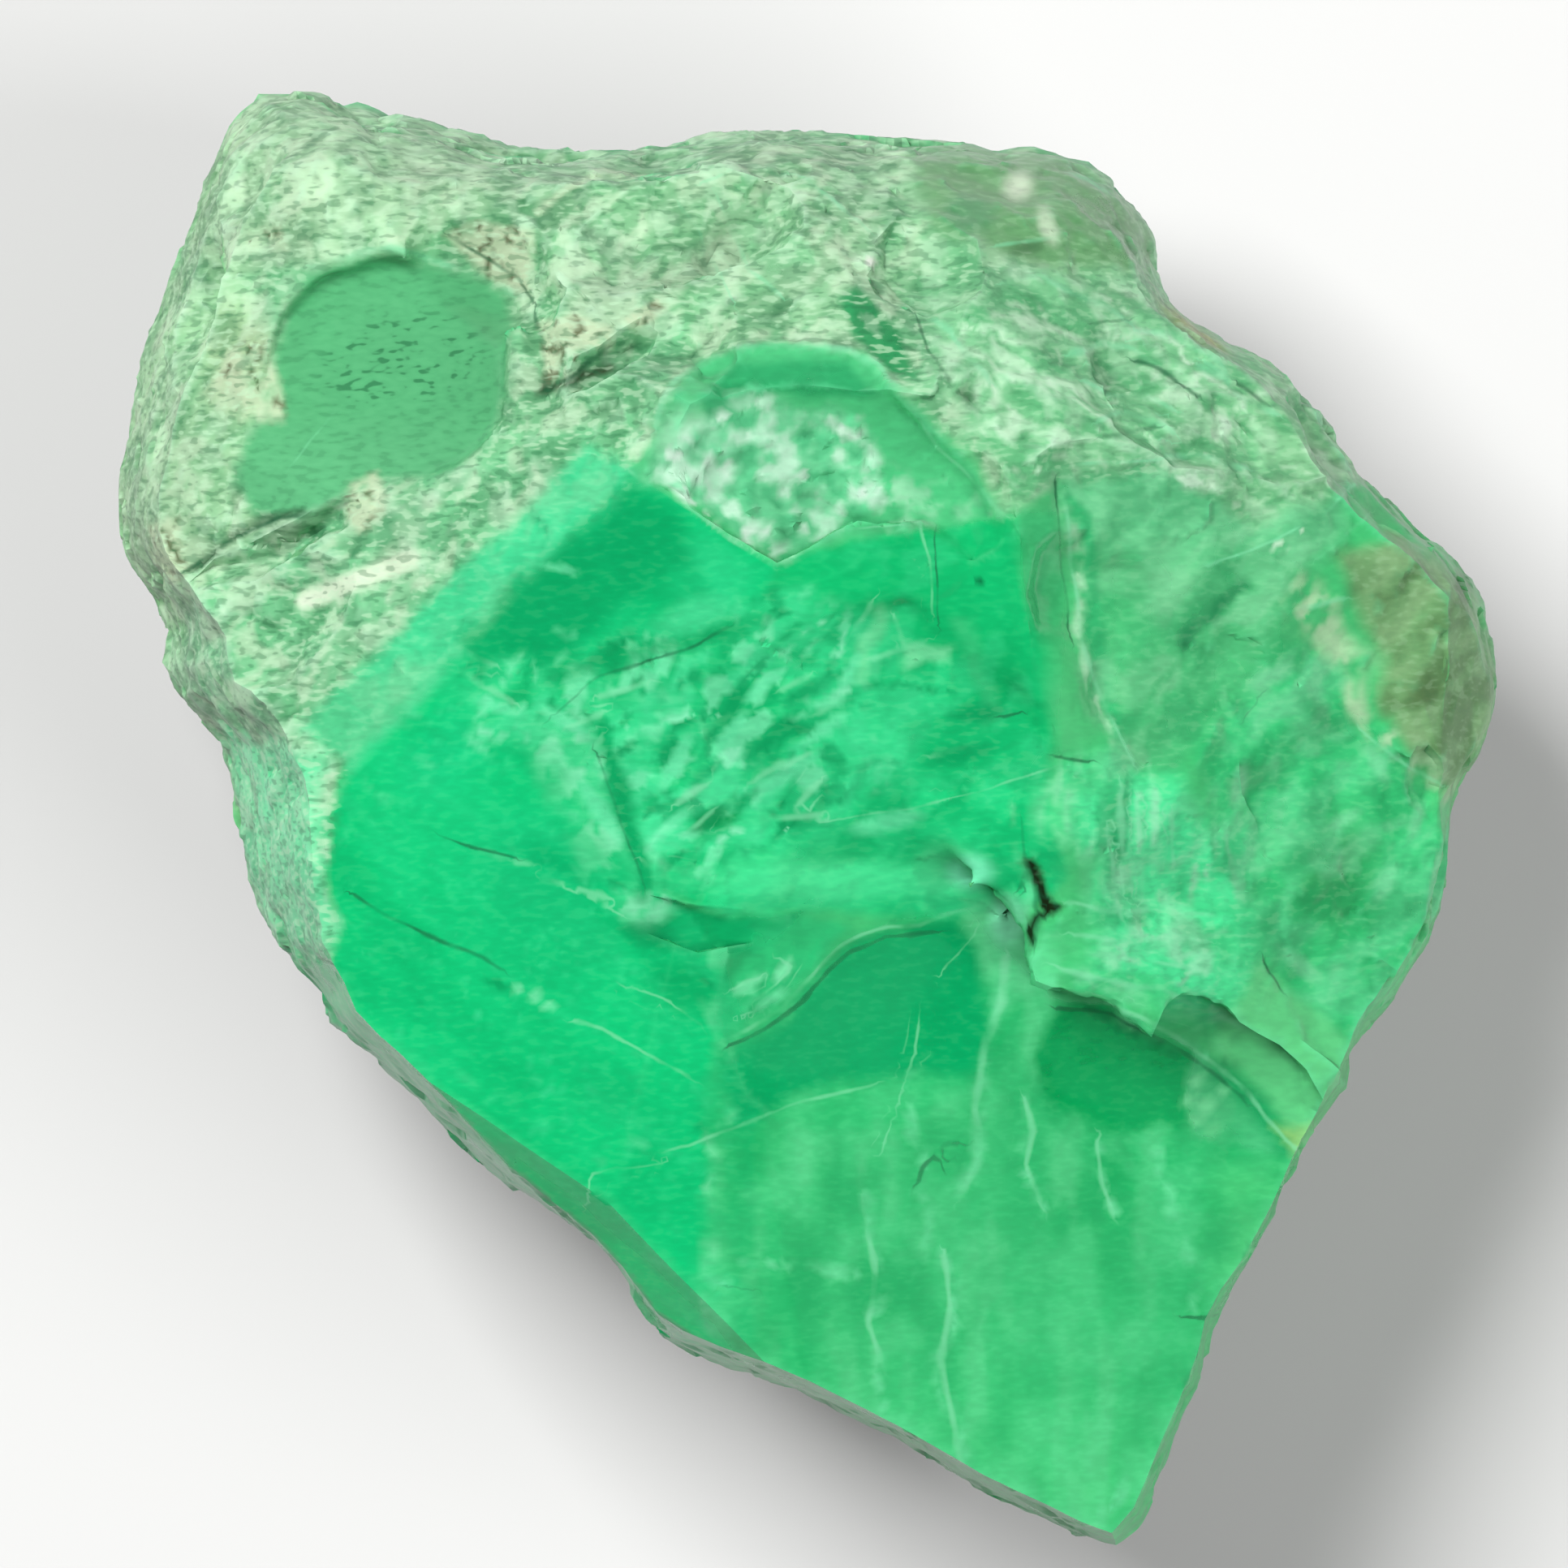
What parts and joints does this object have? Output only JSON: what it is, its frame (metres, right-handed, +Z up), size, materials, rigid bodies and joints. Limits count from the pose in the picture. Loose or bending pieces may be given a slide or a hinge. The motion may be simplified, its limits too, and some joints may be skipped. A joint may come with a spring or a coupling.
{
  "type": "emerald crystal",
  "caption": "Rough broken piece of green beryl with a flat corner-shaped crystal face, a ragged ledge and a weathered pale crust.",
  "frame": {"origin": "under the middle of the crystal, on the surface that it rests on", "axes": "+Z up, away from the resting surface and towards the viewer of its flat crystal faces; +Y along its longest way, towards the weathered upper edge; +X to the right as seen from above"},
  "size_m": [0.0265, 0.028, 0.0136],
  "materials": {
    "emerald": "translucent, glossy on the clean faces and matt where weathered"
  },
  "bodies": {
    "root": {"emerald_crystal": "emerald"}
  },
  "joints": []
}
